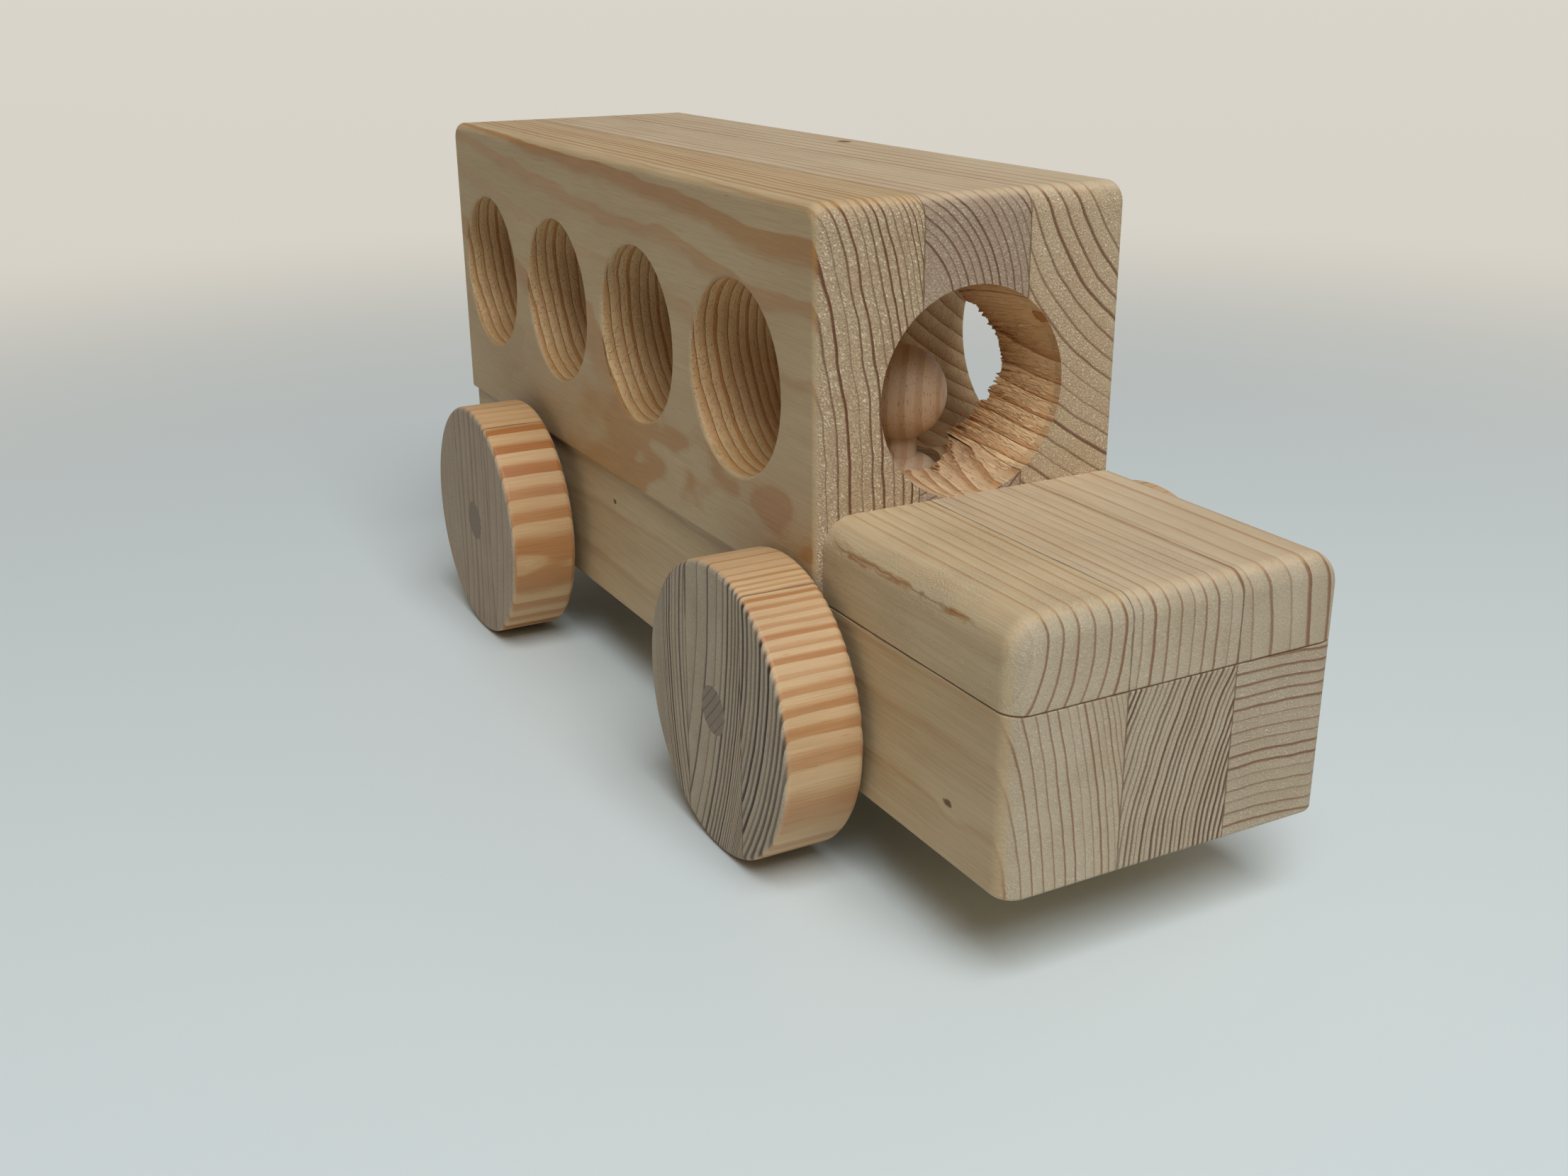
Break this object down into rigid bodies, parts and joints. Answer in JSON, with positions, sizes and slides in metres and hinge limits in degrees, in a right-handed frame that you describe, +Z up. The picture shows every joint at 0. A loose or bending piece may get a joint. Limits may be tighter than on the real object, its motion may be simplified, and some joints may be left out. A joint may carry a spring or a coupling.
{
  "type": "toy bus",
  "caption": "Wooden toy bus with bored round side windows, an open windscreen bore, a turned driver and disc wheels on dowel axles.",
  "frame": {"origin": "on the floor, midway along the chassis and midway between the left and right wheels", "axes": "+X is the way the bus drives, +Y is the driver's left, +Z is up"},
  "size_m": [0.269, 0.114, 0.128],
  "materials": {
    "chassis_pine": "sanded, unfinished",
    "cabin_pine": "sanded, unfinished",
    "bonnet_pine": "sanded, unfinished",
    "wheel_pine": "sanded, unfinished",
    "dowel_birch": "sanded, unfinished",
    "turned_beech": "turned smooth, unfinished"
  },
  "bodies": {
    "bus": {"chassis_stave_right": "chassis_pine", "chassis_stave_middle": "chassis_pine", "chassis_stave_left": "chassis_pine", "cabin_board_right": "cabin_pine", "cabin_board_middle": "cabin_pine", "cabin_board_left": "cabin_pine", "bonnet_stave_right": "bonnet_pine", "bonnet_stave_middle": "bonnet_pine", "bonnet_stave_left": "bonnet_pine", "driver": "turned_beech"},
    "front_wheelset": {"front_axle": "dowel_birch", "front_right_wheel_stave_fore": "wheel_pine", "front_right_wheel_stave_middle": "wheel_pine", "front_right_wheel_stave_aft": "wheel_pine", "front_left_wheel_stave_fore": "wheel_pine", "front_left_wheel_stave_middle": "wheel_pine", "front_left_wheel_stave_aft": "wheel_pine"},
    "rear_wheelset": {"rear_axle": "dowel_birch", "rear_right_wheel_stave_fore": "wheel_pine", "rear_right_wheel_stave_middle": "wheel_pine", "rear_right_wheel_stave_aft": "wheel_pine", "rear_left_wheel_stave_fore": "wheel_pine", "rear_left_wheel_stave_middle": "wheel_pine", "rear_left_wheel_stave_aft": "wheel_pine"}
  },
  "joints": [
    {"name": "front_axle_spin", "type": "hinge", "parent": "bus", "child": "front_wheelset", "pos_m": [0.0623, 0, 0.03025], "axis": [0, 1, 0], "continuous": true},
    {"name": "rear_axle_spin", "type": "hinge", "parent": "bus", "child": "rear_wheelset", "pos_m": [-0.0779, 0, 0.03025], "axis": [0, 1, 0], "continuous": true}
  ]
}
